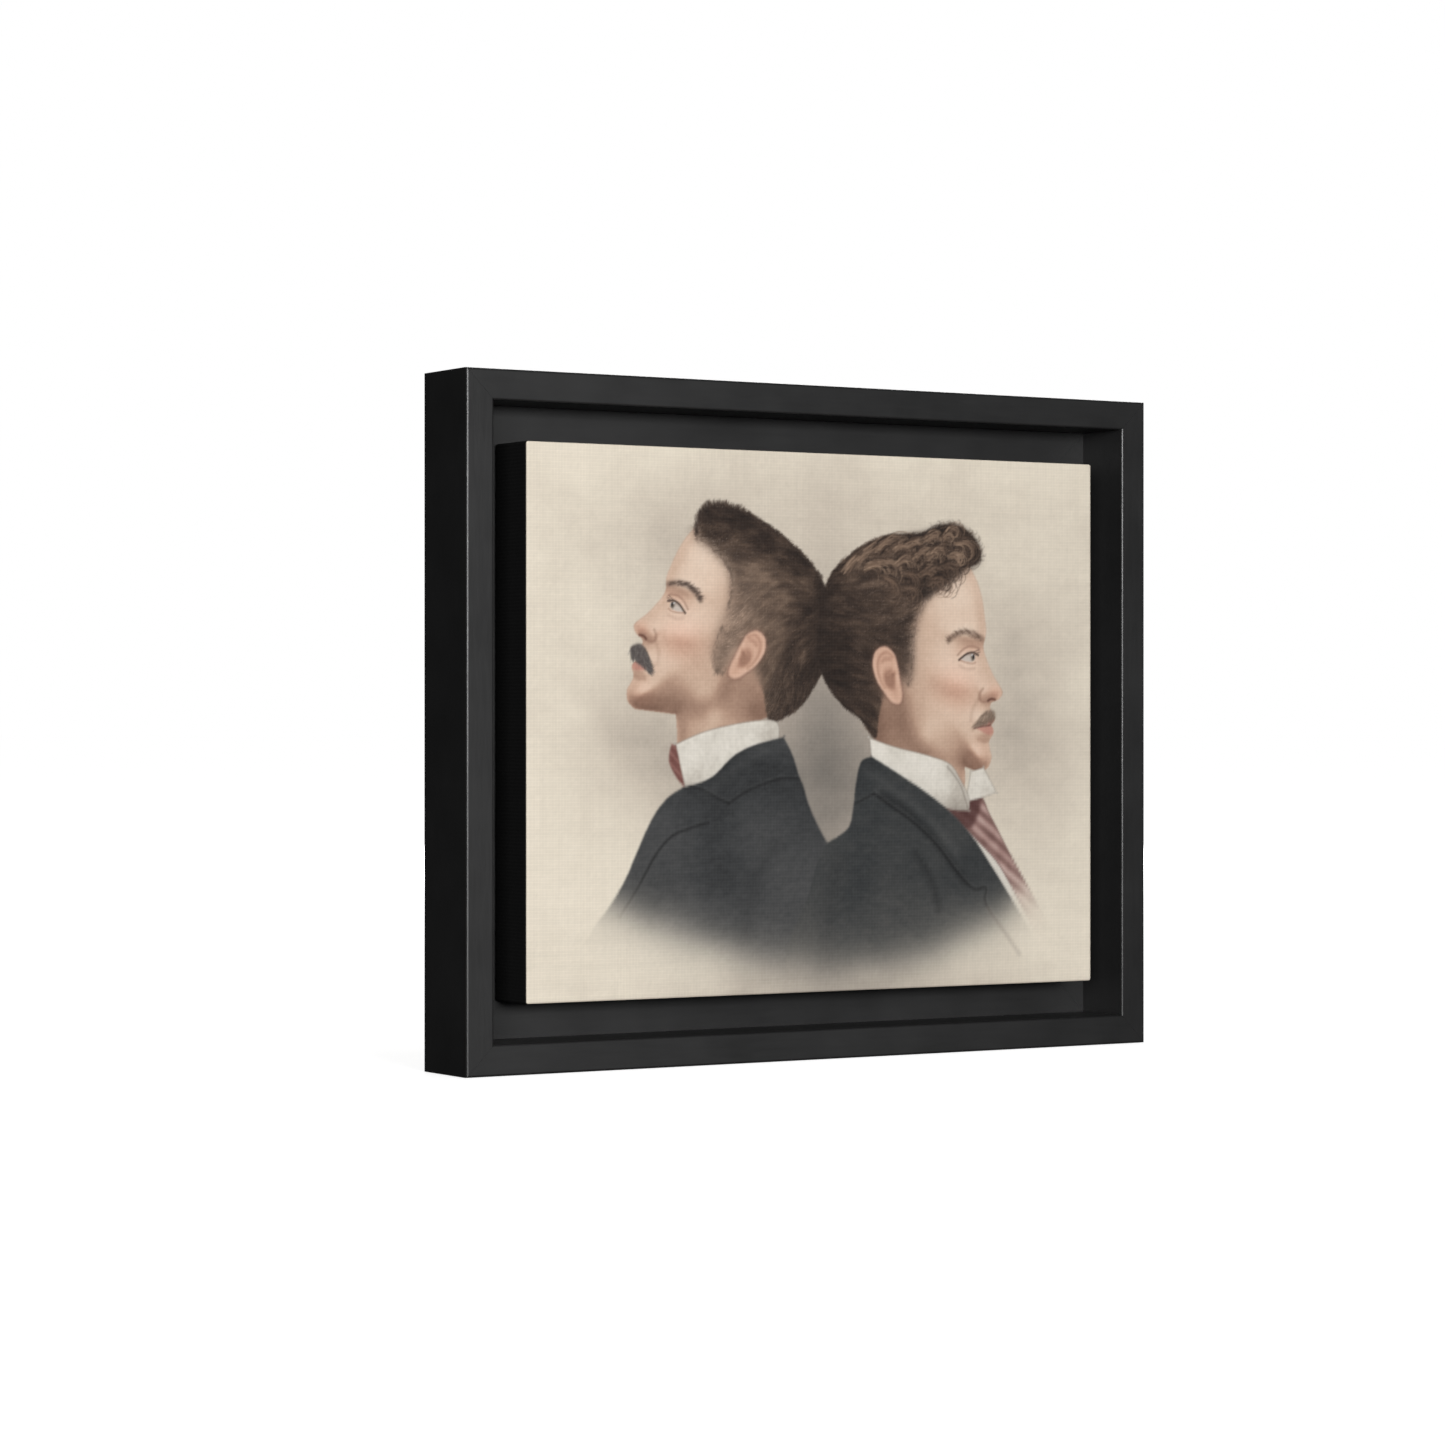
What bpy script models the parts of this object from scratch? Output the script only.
"""A small picture on stretched canvas, held in a black wooden floater frame.

Units are metres. +X is to the right, +Z is up and the picture faces -Y. The origin is below
the middle of the whole object, on the surface that its bottom edge stands on.
"""

from math import cos, pi, radians, sin

import bmesh
import bpy
from mathutils import Matrix

MM = 0.001
GAP = 0.3 * MM

# Canvas and frame, seen from the front.
CANVAS_WIDTH = 254.0 * MM
CANVAS_HEIGHT = 203.2 * MM
BORDER = 25.2 * MM
FRAME_WIDTH = CANVAS_WIDTH + 2 * BORDER
FRAME_HEIGHT = CANVAS_HEIGHT + 2 * BORDER

# Frame section: a deep narrow lip, and a flange that reaches in behind the canvas.
FRAME_DEPTH = 32.4 * MM
LIP_WIDTH = 11.2 * MM
FLANGE_REACH = 37.0 * MM
FLANGE_FRONT = 25.4 * MM
FRAME_EDGE_RADIUS = 0.8 * MM
BACK_EDGE_RADIUS = 0.4 * MM

# Canvas and the stretcher bars inside it.
CANVAS_SETBACK = 1.4 * MM
CLOTH = 0.4 * MM
HEM_WIDTH = 24.0 * MM
CANVAS_EDGE_RADIUS = 1.0 * MM
BAR_WIDTH = 28.0 * MM
BEAD_WIDTH = 4.0 * MM
BEAD_HEIGHT = 2.0 * MM
BAR_SLOPE = 1.5 * MM

# Staples that hold the hem to the bars.
STAPLE_CROWN = 10.0 * MM
STAPLE_LEG = 8.0 * MM
STAPLE_WIRE = 0.6 * MM
STAPLE_BEND = 0.6 * MM
STAPLE_INSET = 19.0 * MM
STAPLES_ON_LONG_BAR = 6
STAPLES_ON_SHORT_BAR = 4
LONG_BAR_SPACING = 38.0 * MM
SHORT_BAR_SPACING = 42.0 * MM

# Screws through the flange into the stretcher bars.
SCREW_INSET = 31.2 * MM
SCREW_SHANK_RADIUS = 1.4 * MM
SCREW_LENGTH = 16.0 * MM
SCREW_HEAD_RADIUS = 3.0 * MM
SCREW_HEAD_HEIGHT = 1.9 * MM
LONG_RAIL_SCREW_X = 70.0 * MM

# Hangers: a strap with a knuckle, its screw, and a D-shaped wire ring that swings in it.
HANGER_INSET = 18.5 * MM
HANGER_HEIGHT = 184.0 * MM
STRAP_THICKNESS = 0.8 * MM
STRAP_WIDTH = 9.0 * MM
STRAP_SCREW_DROP = 19.0 * MM
RING_WIRE_RADIUS = 1.0 * MM
RING_HALF_WIDTH = 8.5 * MM
RING_DROP = 13.5 * MM
RING_CORNER = 2.0 * MM
STRAP_SCREW_SHANK_RADIUS = 1.1 * MM
STRAP_SCREW_LENGTH = 6.6 * MM

# Wall bumpers at the bottom corners.
BUMPER_INSET = 12.0 * MM
BUMPER_RADIUS = 5.0 * MM
BUMPER_FLAT_RADIUS = 2.5 * MM
BUMPER_HEIGHT = 3.0 * MM
BUMPER_SKIRT = 0.25

# V-nails across the mitres: distance of the point of the V from the outer corner, and height.
V_NAIL_WING = 4.5 * MM
V_NAIL_THICKNESS = 0.5 * MM
LIP_NAIL_PLACE = 4.0 * MM
LIP_NAIL_HEIGHT = 12.0 * MM
FLANGE_NAIL_PLACE = 20.0 * MM
FLANGE_NAIL_HEIGHT = 5.0 * MM
BAR_NAIL_PLACE = 7.0 * MM
BAR_NAIL_HEIGHT = 12.0 * MM

# Places along Y. The knuckles reach furthest back, and the whole depth is centred on Y = 0.
KNUCKLE_RADIUS = RING_WIRE_RADIUS + GAP + STRAP_THICKNESS
RING_AXIS_HEIGHT = GAP + KNUCKLE_RADIUS
OBJECT_DEPTH = FRAME_DEPTH + RING_AXIS_HEIGHT + KNUCKLE_RADIUS
FRONT_Y = -OBJECT_DEPTH / 2
BACK_Y = FRONT_Y + FRAME_DEPTH
CANVAS_FRONT_Y = FRONT_Y + CANVAS_SETBACK
HEM_BACK_Y = FRONT_Y + FLANGE_FRONT - GAP
BAR_FRONT_Y = CANVAS_FRONT_Y + CLOTH + GAP
BAR_BACK_Y = HEM_BACK_Y - CLOTH - GAP
CENTRE_Z = FRAME_HEIGHT / 2

COLOURS = {
    "black_paint": ((0.022, 0.022, 0.023), 0.45, 0.0),
    "pine": ((0.68, 0.50, 0.30), 0.70, 0.0),
    "cloth": ((0.66, 0.61, 0.53), 0.90, 0.0),
    "zinc": ((0.62, 0.63, 0.65), 0.35, 1.0),
    "steel": ((0.45, 0.46, 0.48), 0.40, 1.0),
    "rubber": ((0.03, 0.03, 0.03), 0.80, 0.0),
}


def clear_scene():
    for old in list(bpy.data.objects):
        bpy.data.objects.remove(old, do_unlink=True)


def new_collection(name):
    made = bpy.data.collections.new(name)
    bpy.context.scene.collection.children.link(made)
    return made


def material(name, look):
    """A material of its own for one sub-part, in one of the object's finishes."""
    colour, roughness, metallic = COLOURS[look]
    made = bpy.data.materials.new(name)
    made.use_nodes = True
    shader = made.node_tree.nodes["Principled BSDF"]
    shader.inputs["Base Color"].default_value = (*colour, 1.0)
    shader.inputs["Roughness"].default_value = roughness
    shader.inputs["Metallic"].default_value = metallic
    return made


def add_object(name, mesh, look, place=(0, 0, 0), turn=(0, 0, 0)):
    """Puts a mesh in the picture's collection as one named sub-part."""
    made = bpy.data.objects.new(name, mesh)
    made.location = place
    made.rotation_euler = turn
    mesh.materials.clear()
    mesh.materials.append(material(name, look))
    PICTURE.objects.link(made)
    return made


def add_cutter(name, mesh, place=(0, 0, 0), turn=(0, 0, 0)):
    made = bpy.data.objects.new(name, mesh)
    made.location = place
    made.rotation_euler = turn
    made.hide_render = True
    made.display_type = "WIRE"
    CUTTERS.objects.link(made)
    return made


def cut(target, cutter):
    modifier = target.modifiers.new("cut_" + cutter.name, "BOOLEAN")
    modifier.operation = "DIFFERENCE"
    modifier.solver = "EXACT"
    modifier.object = cutter


def finish_mesh(bm, name):
    bmesh.ops.remove_doubles(bm, verts=bm.verts, dist=0.000001)
    bmesh.ops.recalc_face_normals(bm, faces=bm.faces)
    mesh = bpy.data.meshes.new(name)
    bm.to_mesh(mesh)
    bm.free()
    return mesh


def smooth(mesh, angle=40):
    mesh.shade_smooth()
    mesh.set_sharp_from_angle(angle=radians(angle))


def extruded(name, outlines, half_thickness):
    """A flat outline, with holes where there are more outlines, as a closed mesh along local Z."""
    curve = bpy.data.curves.new(name, "CURVE")
    curve.dimensions = "2D"
    curve.fill_mode = "BOTH"
    curve.extrude = half_thickness
    for outline in outlines:
        spline = curve.splines.new("POLY")
        spline.points.add(len(outline) - 1)
        spline.use_cyclic_u = True
        for point, (x, y) in zip(spline.points, outline):
            point.co = (x, y, 0, 1)
    return mesh_of_curve(name, curve)


def mesh_of_curve(name, curve):
    helper = bpy.data.objects.new(name + "_curve", curve)
    bpy.context.scene.collection.objects.link(helper)
    graph = bpy.context.evaluated_depsgraph_get()
    raw = bpy.data.meshes.new_from_object(helper.evaluated_get(graph))
    bm = bmesh.new()
    bm.from_mesh(raw)
    bpy.data.meshes.remove(raw)
    bpy.data.objects.remove(helper)
    return finish_mesh(bm, name)


def rounded(corners, steps=3):
    """An outline from (x, y, radius) corners, each turned on an arc where its radius isn't zero."""
    outline = []
    count = len(corners)
    for index, (x, y, radius) in enumerate(corners):
        before = corners[index - 1]
        after = corners[(index + 1) % count]
        if radius == 0:
            outline.append((x, y))
            continue
        start = towards((x, y), before, radius)
        end = towards((x, y), after, radius)
        for step in range(steps + 1):
            t = step / steps
            outline.append(
                (
                    (1 - t) ** 2 * start[0] + 2 * t * (1 - t) * x + t**2 * end[0],
                    (1 - t) ** 2 * start[1] + 2 * t * (1 - t) * y + t**2 * end[1],
                )
            )
    return outline


def towards(point, other, distance):
    across = other[0] - point[0]
    along = other[1] - point[1]
    length = (across**2 + along**2) ** 0.5
    return (point[0] + across * distance / length, point[1] + along * distance / length)


def mitred(name, section, length, outer):
    """A bar along X whose section is (inward, depth) points, with ends cut at 45 degrees.

    Its outer side is at local Z = -outer, and inward is +Z. Each end keeps half of the gap.
    """
    mesh = extruded(name, [section], length / 2)
    half_gap = GAP / 2 * 2**0.5
    for vertex in mesh.vertices:
        inward, depth, along = vertex.co
        end = length / 2 - half_gap - inward
        vertex.co = (end if along > 0 else -end, depth, inward - outer)
    bm = bmesh.new()
    bm.from_mesh(mesh)
    return finish_mesh(bm, name)


# Each side of the frame: its name, its turn about Y from the bottom side, and whether it is long.
SIDES = (
    ("bottom", 0.0, True),
    ("left", pi / 2, False),
    ("top", pi, True),
    ("right", -pi / 2, False),
)

CORNERS = (
    ("bottom_left", -1, -1),
    ("bottom_right", 1, -1),
    ("top_left", -1, 1),
    ("top_right", 1, 1),
)


def frame_rails():
    """Four L-shaped rails, mitred at the corners."""
    front = FRONT_Y
    section = rounded(
        [
            (0, front, FRAME_EDGE_RADIUS),
            (0, BACK_Y, BACK_EDGE_RADIUS),
            (FLANGE_REACH, BACK_Y, BACK_EDGE_RADIUS),
            (FLANGE_REACH, front + FLANGE_FRONT, BACK_EDGE_RADIUS),
            (LIP_WIDTH, front + FLANGE_FRONT, 0),
            (LIP_WIDTH, front, FRAME_EDGE_RADIUS),
        ]
    )
    rails = {}
    for side, turn, is_long in SIDES:
        length = FRAME_WIDTH if is_long else FRAME_HEIGHT
        outer = (FRAME_HEIGHT if is_long else FRAME_WIDTH) / 2
        name = "frame_rail_" + side
        mesh = mitred(name, section, length, outer)
        smooth(mesh)
        rails[side] = add_object(name, mesh, "black_paint", (0, 0, CENTRE_Z), (0, turn, 0))
    return rails


def stretcher_bars():
    """Four pine bars, each with a raised bead on its outer front edge, mitred at the corners."""
    bead_back = BAR_FRONT_Y + BEAD_HEIGHT
    section = rounded(
        [
            (0, BAR_FRONT_Y, CANVAS_EDGE_RADIUS - CLOTH),
            (0, BAR_BACK_Y, BACK_EDGE_RADIUS),
            (BAR_WIDTH, BAR_BACK_Y, BACK_EDGE_RADIUS),
            (BAR_WIDTH, bead_back + BAR_SLOPE, BACK_EDGE_RADIUS),
            (BEAD_WIDTH + BEAD_HEIGHT, bead_back, 0),
            (BEAD_WIDTH, BAR_FRONT_Y, BACK_EDGE_RADIUS),
        ]
    )
    bars = {}
    for side, turn, is_long in SIDES:
        inset = 2 * (CLOTH + GAP)
        length = (CANVAS_WIDTH if is_long else CANVAS_HEIGHT) - inset
        outer = ((CANVAS_HEIGHT if is_long else CANVAS_WIDTH) - inset) / 2
        name = "stretcher_bar_" + side
        mesh = mitred(name, section, length, outer)
        smooth(mesh)
        bars[side] = add_object(name, mesh, "pine", (0, 0, CENTRE_Z), (0, turn, 0))
    return bars


def canvas():
    """The cloth: one skin over the front and the sides, with a hem turned in on the back."""
    bm = bmesh.new()
    bmesh.ops.create_cube(bm, size=1)
    depth = HEM_BACK_Y - CANVAS_FRONT_Y
    bmesh.ops.scale(bm, vec=(CANVAS_WIDTH, depth, CANVAS_HEIGHT), verts=bm.verts)
    middle = (0, CANVAS_FRONT_Y + depth / 2, CENTRE_Z)
    bmesh.ops.translate(bm, vec=middle, verts=bm.verts)
    edges = list(bm.edges)
    bmesh.ops.bevel(
        bm, geom=edges, offset=CANVAS_EDGE_RADIUS, segments=2, affect="EDGES", profile=0.5
    )
    bm.faces.ensure_lookup_table()
    back = max(bm.faces, key=lambda face: face.calc_center_median().y)
    hem = HEM_WIDTH - CANVAS_EDGE_RADIUS
    bmesh.ops.inset_region(bm, faces=[back], thickness=hem, use_even_offset=True)
    bmesh.ops.delete(bm, geom=[back], context="FACES")
    made = add_object("canvas", finish_mesh(bm, "canvas"), "cloth")
    shell = made.modifiers.new("cloth_thickness", "SOLIDIFY")
    shell.thickness = CLOTH
    shell.offset = -1
    shell.use_even_offset = True
    smooth(made.data, 30)
    return made


def bar_place(side, along, inset):
    """World X and Z at a distance along a side of the frame, and inwards from its outer edge."""
    half_width = FRAME_WIDTH / 2 - inset
    half_height = FRAME_HEIGHT / 2 - inset
    return {
        "bottom": (along, CENTRE_Z - half_height),
        "top": (along, CENTRE_Z + half_height),
        "left": (-half_width, CENTRE_Z + along),
        "right": (half_width, CENTRE_Z + along),
    }[side]


def staple_places():
    """(side, place along it) for every staple, evenly spaced about the middle of each side."""
    places = []
    for side, _turn, is_long in SIDES:
        count = STAPLES_ON_LONG_BAR if is_long else STAPLES_ON_SHORT_BAR
        spacing = LONG_BAR_SPACING if is_long else SHORT_BAR_SPACING
        for index in range(count):
            places.append((side, index, (index - (count - 1) / 2) * spacing))
    return places


def joined_boxes(name, boxes):
    """One mesh of separate boxes, each given by its centre and its size."""
    bm = bmesh.new()
    for centre, size in boxes:
        matrix = Matrix.Translation(centre) @ Matrix.Diagonal((*size, 1))
        bmesh.ops.create_cube(bm, size=1, matrix=matrix)
    return finish_mesh(bm, name)


def staples(cloth, bars):
    """Steel staples over the hem, and the slits that their legs make in cloth and wood."""
    half = STAPLE_CROWN / 2
    inner = half - STAPLE_WIRE
    outline = rounded(
        [
            (-half, -STAPLE_LEG, 0),
            (-half, 0, STAPLE_BEND),
            (half, 0, STAPLE_BEND),
            (half, -STAPLE_LEG, 0),
            (inner, -STAPLE_LEG, 0),
            (inner, -STAPLE_WIRE, 0),
            (-inner, -STAPLE_WIRE, 0),
            (-inner, -STAPLE_LEG, 0),
        ],
        2,
    )
    slits = []
    crown_y = HEM_BACK_Y + GAP + STAPLE_WIRE
    leg_top = HEM_BACK_Y + GAP / 2
    leg_bottom = crown_y - STAPLE_LEG - GAP
    slit = STAPLE_WIRE + 2 * GAP
    inset = BORDER + STAPLE_INSET
    for side, index, along in staple_places():
        x, z = bar_place(side, along, inset)
        upright = side in ("left", "right")
        name = "staple_" + side + "_" + str(index + 1)
        mesh = extruded(name, [outline], STAPLE_WIRE / 2)
        turn = (0, pi / 2 if upright else 0, 0)
        add_object(name, mesh, "steel", (x, crown_y, z), turn)
        for leg in (-1, 1):
            shift = leg * (half - STAPLE_WIRE / 2)
            centre = (
                x + (0 if upright else shift),
                (leg_top + leg_bottom) / 2,
                z + (shift if upright else 0),
            )
            slits.append((centre, (slit, leg_top - leg_bottom, slit)))
    cutter = add_cutter("staple_slits", joined_boxes("staple_slits", slits))
    for target in (cloth, *bars.values()):
        cut(target, cutter)


def turned(name, profile, steps):
    """A solid turned about local Z from a (radius, height) profile that runs from top to bottom."""
    bm = bmesh.new()
    points = [bm.verts.new((radius, 0, height)) for radius, height in profile]
    for first, second in zip(points, points[1:]):
        bm.edges.new((first, second))
    bmesh.ops.spin(
        bm,
        geom=bm.verts[:] + bm.edges[:],
        cent=(0, 0, 0),
        axis=(0, 0, 1),
        angle=2 * pi,
        steps=steps,
        use_merge=True,
    )
    mesh = finish_mesh(bm, name)
    smooth(mesh)
    return mesh


def screw_mesh(name, shank_radius, length):
    """A pan-head wood screw: the underside of its head is at Z = 0 and its point is below."""
    head = SCREW_HEAD_RADIUS
    top = SCREW_HEAD_HEIGHT
    profile = [
        (0, top),
        (head * 0.55, top * 0.94),
        (head * 0.85, top * 0.72),
        (head, top * 0.35),
        (head, 0),
        (shank_radius, 0),
        (shank_radius, -(length - 2 * shank_radius)),
        (0, -length),
    ]
    return turned(name, profile, 14)


FACE_BACK = (-pi / 2, 0, 0)


def screw_holes(name, places, radius, depth, rise=GAP):
    """Cutter cylinders that go in from the back of the frame, and stand out of it by rise."""
    bm = bmesh.new()
    length = depth + rise
    for x, z in places:
        matrix = Matrix.Translation((x, BACK_Y + rise - length / 2, z))
        matrix = matrix @ Matrix.Rotation(pi / 2, 4, "X")
        bmesh.ops.create_cone(
            bm,
            cap_ends=True,
            segments=12,
            radius1=radius,
            radius2=radius,
            depth=length,
            matrix=matrix,
        )
    return add_cutter(name, finish_mesh(bm, name))


def canvas_screws(cloth, rails, bars):
    """Six screws through the flange, which hold the stretched canvas in the frame."""
    places = {
        "bottom_left": bar_place("bottom", -LONG_RAIL_SCREW_X, SCREW_INSET),
        "bottom_right": bar_place("bottom", LONG_RAIL_SCREW_X, SCREW_INSET),
        "top_left": bar_place("top", -LONG_RAIL_SCREW_X, SCREW_INSET),
        "top_right": bar_place("top", LONG_RAIL_SCREW_X, SCREW_INSET),
        "left": bar_place("left", 0, SCREW_INSET),
        "right": bar_place("right", 0, SCREW_INSET),
    }
    for where, (x, z) in places.items():
        name = "canvas_screw_" + where
        mesh = screw_mesh(name, SCREW_SHANK_RADIUS, SCREW_LENGTH)
        add_object(name, mesh, "zinc", (x, BACK_Y + GAP, z), FACE_BACK)
    radius = SCREW_SHANK_RADIUS + GAP
    cutter = screw_holes("screw_holes", places.values(), radius, SCREW_LENGTH + GAP)
    for target in (cloth, *rails.values(), *bars.values()):
        cut(target, cutter)


def v_nails(rails, bars):
    """V-shaped steel nails across each mitre, driven in from the back."""
    kinds = (
        ("lip_nail", 0, LIP_NAIL_PLACE, LIP_NAIL_HEIGHT, BACK_Y, rails),
        ("flange_nail", 0, FLANGE_NAIL_PLACE, FLANGE_NAIL_HEIGHT, BACK_Y, rails),
        ("bar_nail", BORDER, BAR_NAIL_PLACE, BAR_NAIL_HEIGHT, BAR_BACK_Y, bars),
    )
    for kind, inset, place, height, back, targets in kinds:
        for where, right, up in CORNERS:
            x = right * (FRAME_WIDTH / 2 - inset - place)
            z = CENTRE_Z + up * (FRAME_HEIGHT / 2 - inset - place)
            name = kind + "_" + where
            mesh = v_mesh(name, V_NAIL_THICKNESS, V_NAIL_WING, height, right, up)
            add_object(name, mesh, "steel", (x, back - GAP - height / 2, z))
            grown = V_NAIL_THICKNESS + 2 * GAP
            slot_height = height + 4 * GAP
            slot = v_mesh(name + "_slot", grown, V_NAIL_WING + GAP, slot_height, right, up)
            cutter = add_cutter(name + "_slot", slot, (x, back - GAP - height / 2, z))
            for side in where.split("_"):
                cut(targets[side], cutter)


def v_mesh(name, thickness, wing, height, right, up):
    """Two wings at a right angle, whose point is towards the outer corner, along local Y."""
    half = thickness / 2
    outline = [
        (half, half),
        (half, -wing),
        (-half, -wing),
        (-half, -half),
        (-wing, -half),
        (-wing, half),
    ]
    mesh = extruded(name, [outline], height / 2)
    flip = Matrix.Diagonal((right, 1, up, 1))
    mesh.transform(flip @ Matrix.Rotation(pi / 2, 4, "X"))
    bm = bmesh.new()
    bm.from_mesh(mesh)
    return finish_mesh(bm, name)


def arc(centre, radius, start, end, steps):
    """Points on an arc, whose angles are in degrees."""
    points = []
    for step in range(steps + 1):
        angle = radians(start + (end - start) * step / steps)
        points.append((centre[0] + radius * cos(angle), centre[1] + radius * sin(angle)))
    return points


def strap_mesh(name):
    """A steel strip with a knuckle rolled at its top end and a hole for its screw.

    The knuckle's bore is on local X, the strip runs down local -Z, and +Y is away from the frame.
    """
    strip_front = -KNUCKLE_RADIUS + STRAP_THICKNESS
    end_z = -(STRAP_SCREW_DROP + STRAP_WIDTH / 2)
    bore = RING_WIRE_RADIUS + GAP
    # The outline is drawn with its first axis away from the frame and its second one up.
    roll = arc((0, 0), KNUCKLE_RADIUS, -60, 180, 12)
    outline = [
        *roll,
        (-KNUCKLE_RADIUS, end_z),
        (strip_front, end_z),
        (strip_front, -KNUCKLE_RADIUS),
    ]
    hole = arc((0, 0), bore, 0, 330, 11)
    mesh = extruded(name, [outline, hole], STRAP_WIDTH / 2)
    mesh.transform(Matrix(((0, 0, 1, 0), (1, 0, 0, 0), (0, 1, 0, 0), (0, 0, 0, 1))))
    bm = bmesh.new()
    bm.from_mesh(mesh)
    round_end(bm, end_z)
    return finish_mesh(bm, name)


def round_end(bm, end_z):
    """Rounds the strip's free end in its own plane."""
    corners = []
    for edge in bm.edges:
        first, second = (vertex.co for vertex in edge.verts)
        across = abs(first.y - second.y) > STRAP_THICKNESS / 2
        at_end = abs(first.z - end_z) < GAP / 10 and abs(second.z - end_z) < GAP / 10
        if across and at_end:
            corners.append(edge)
    offset = STRAP_WIDTH / 2 * 0.96
    bmesh.ops.bevel(bm, geom=corners, offset=offset, segments=5, affect="EDGES", profile=0.5)


def ring_route():
    """The middle line of the wire ring: a straight bar, two bends and a hanging bow."""
    bend_x = RING_HALF_WIDTH - RING_CORNER
    bow_height = RING_DROP - RING_CORNER
    right_bend = arc((bend_x, -RING_CORNER), RING_CORNER, 90, 0, 3)
    bow = []
    for step in range(1, 15):
        angle = pi * step / 15
        bow.append((RING_HALF_WIDTH * cos(angle), -RING_CORNER - bow_height * sin(angle)))
    left_bend = arc((-bend_x, -RING_CORNER), RING_CORNER, 180, 90, 3)
    return right_bend + bow + left_bend


def ring_mesh(name):
    curve = bpy.data.curves.new(name, "CURVE")
    curve.dimensions = "3D"
    curve.bevel_depth = RING_WIRE_RADIUS
    curve.bevel_resolution = 2
    spline = curve.splines.new("POLY")
    route = ring_route()
    spline.points.add(len(route) - 1)
    spline.use_cyclic_u = True
    for point, (x, z) in zip(spline.points, route):
        point.co = (x, 0, z, 1)
    mesh = mesh_of_curve(name, curve)
    smooth(mesh, 60)
    return mesh


def hangers(rails):
    """Two hangers on the back of the side rails. Each ring's origin is on its hinge line."""
    for side, sign in (("left", -1), ("right", 1)):
        x = sign * (FRAME_WIDTH / 2 - HANGER_INSET)
        axis = (x, BACK_Y + RING_AXIS_HEIGHT, HANGER_HEIGHT)
        strap_name = "hanger_strap_" + side
        strap = add_object(strap_name, strap_mesh(strap_name), "zinc", axis)
        ring_name = "hanger_ring_" + side
        add_object(ring_name, ring_mesh(ring_name), "zinc", axis)
        screw_z = HANGER_HEIGHT - STRAP_SCREW_DROP
        screw_name = "hanger_screw_" + side
        seat_y = BACK_Y + 2 * GAP + STRAP_THICKNESS
        mesh = screw_mesh(screw_name, STRAP_SCREW_SHANK_RADIUS, STRAP_SCREW_LENGTH)
        add_object(screw_name, mesh, "zinc", (x, seat_y, screw_z), FACE_BACK)
        radius = STRAP_SCREW_SHANK_RADIUS + GAP
        depth = STRAP_SCREW_LENGTH - STRAP_THICKNESS
        rise = STRAP_THICKNESS + 3 * GAP
        cutter = screw_holes("hanger_hole_" + side, [(x, screw_z)], radius, depth, rise)
        for target in (strap, rails[side]):
            cut(target, cutter)


def bumpers():
    """Soft flat-topped domes at the bottom corners, which keep the frame off the wall."""
    dome = [(0, BUMPER_HEIGHT), (BUMPER_FLAT_RADIUS, BUMPER_HEIGHT)]
    for reach, height in arc((0, 0), 1, 75, 0, 5):
        radius = BUMPER_FLAT_RADIUS + reach * (BUMPER_RADIUS - BUMPER_FLAT_RADIUS)
        dome.append((radius, BUMPER_HEIGHT * (BUMPER_SKIRT + (1 - BUMPER_SKIRT) * height)))
    profile = [*dome, (BUMPER_RADIUS, 0), (0, 0)]
    for side, sign in (("left", -1), ("right", 1)):
        name = "wall_bumper_" + side
        place = (sign * (FRAME_WIDTH / 2 - BUMPER_INSET), BACK_Y + GAP, BUMPER_INSET)
        add_object(name, turned(name, profile, 20), "rubber", place, FACE_BACK)


clear_scene()
PICTURE = new_collection("floater_framed_canvas")
CUTTERS = new_collection("cutters")
CUTTERS.hide_render = True


def main():
    rails = frame_rails()
    bars = stretcher_bars()
    cloth = canvas()
    staples(cloth, bars)
    canvas_screws(cloth, rails, bars)
    v_nails(rails, bars)
    hangers(rails)
    bumpers()


main()
